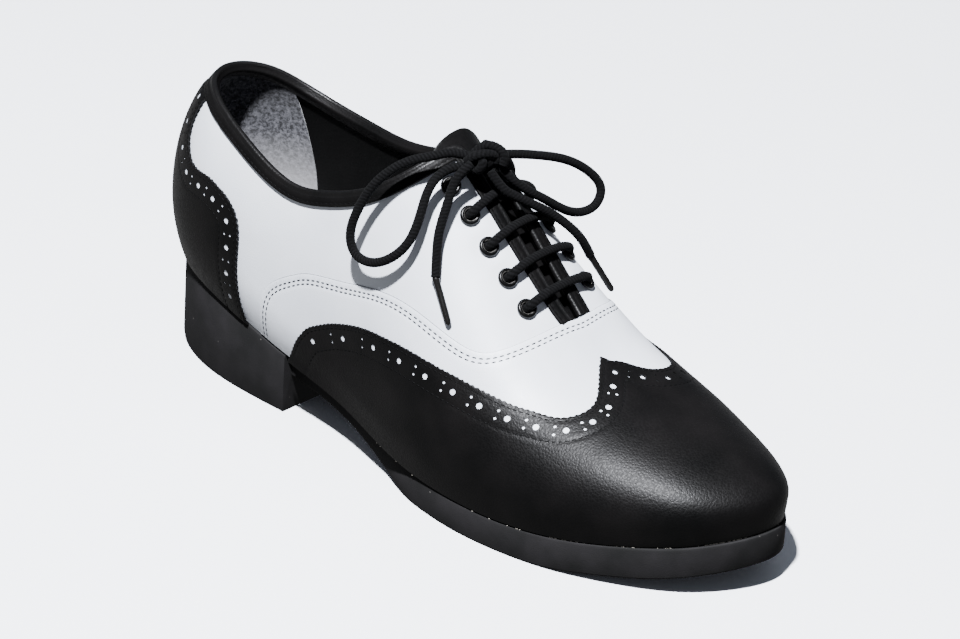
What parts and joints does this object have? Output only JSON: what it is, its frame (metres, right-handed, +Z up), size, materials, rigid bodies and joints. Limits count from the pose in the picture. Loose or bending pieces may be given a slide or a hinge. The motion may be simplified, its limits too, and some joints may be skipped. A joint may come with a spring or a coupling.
{
  "type": "dance shoe",
  "caption": "Right-foot laced dance shoe in white and black leather with a winged punched toe cap, heel counter, bound collar, tied lace bow and a moulded rubber sole with a block heel.",
  "frame": {"origin": "on the floor under the middle of the shoe's footprint, its free laces not counted", "axes": "+X from heel to toe, +Y towards the inner side of the foot, +Z up"},
  "size_m": [0.276, 0.0936, 0.1205],
  "materials": {
    "white_leather": "smooth white leather, satin, fine grain",
    "black_leather": "smooth black leather, satin, fine grain",
    "black_rubber": "matte moulded rubber, lightly scuffed",
    "insole_lining": "matte black lining",
    "eyelet_enamel": "black enamel, worn bright at the rim",
    "lace_cotton": "round braided cotton",
    "aglet_film": "clear black film sleeve"
  },
  "bodies": {
    "root": {"sole": "black_rubber", "insole": "insole_lining", "upper": "white_leather", "tongue": "black_leather", "wing_cap": "black_leather", "heel_counter": "black_leather", "topline_binding": "black_leather", "eyelet_outer_1": "eyelet_enamel", "eyelet_outer_2": "eyelet_enamel", "eyelet_outer_3": "eyelet_enamel", "eyelet_outer_4": "eyelet_enamel", "eyelet_outer_5": "eyelet_enamel", "eyelet_inner_1": "eyelet_enamel", "eyelet_inner_2": "eyelet_enamel", "eyelet_inner_3": "eyelet_enamel", "eyelet_inner_4": "eyelet_enamel", "eyelet_inner_5": "eyelet_enamel", "lace_bar_1": "lace_cotton", "lace_bar_2": "lace_cotton", "lace_bar_3": "lace_cotton", "lace_bar_4": "lace_cotton", "lace_bar_5": "lace_cotton", "lace_knot": "lace_cotton", "lace_loop_outer": "lace_cotton", "lace_loop_inner": "lace_cotton", "lace_end_outer": "lace_cotton", "lace_end_inner": "lace_cotton", "aglet_outer": "aglet_film", "aglet_inner": "aglet_film"}
  },
  "joints": []
}
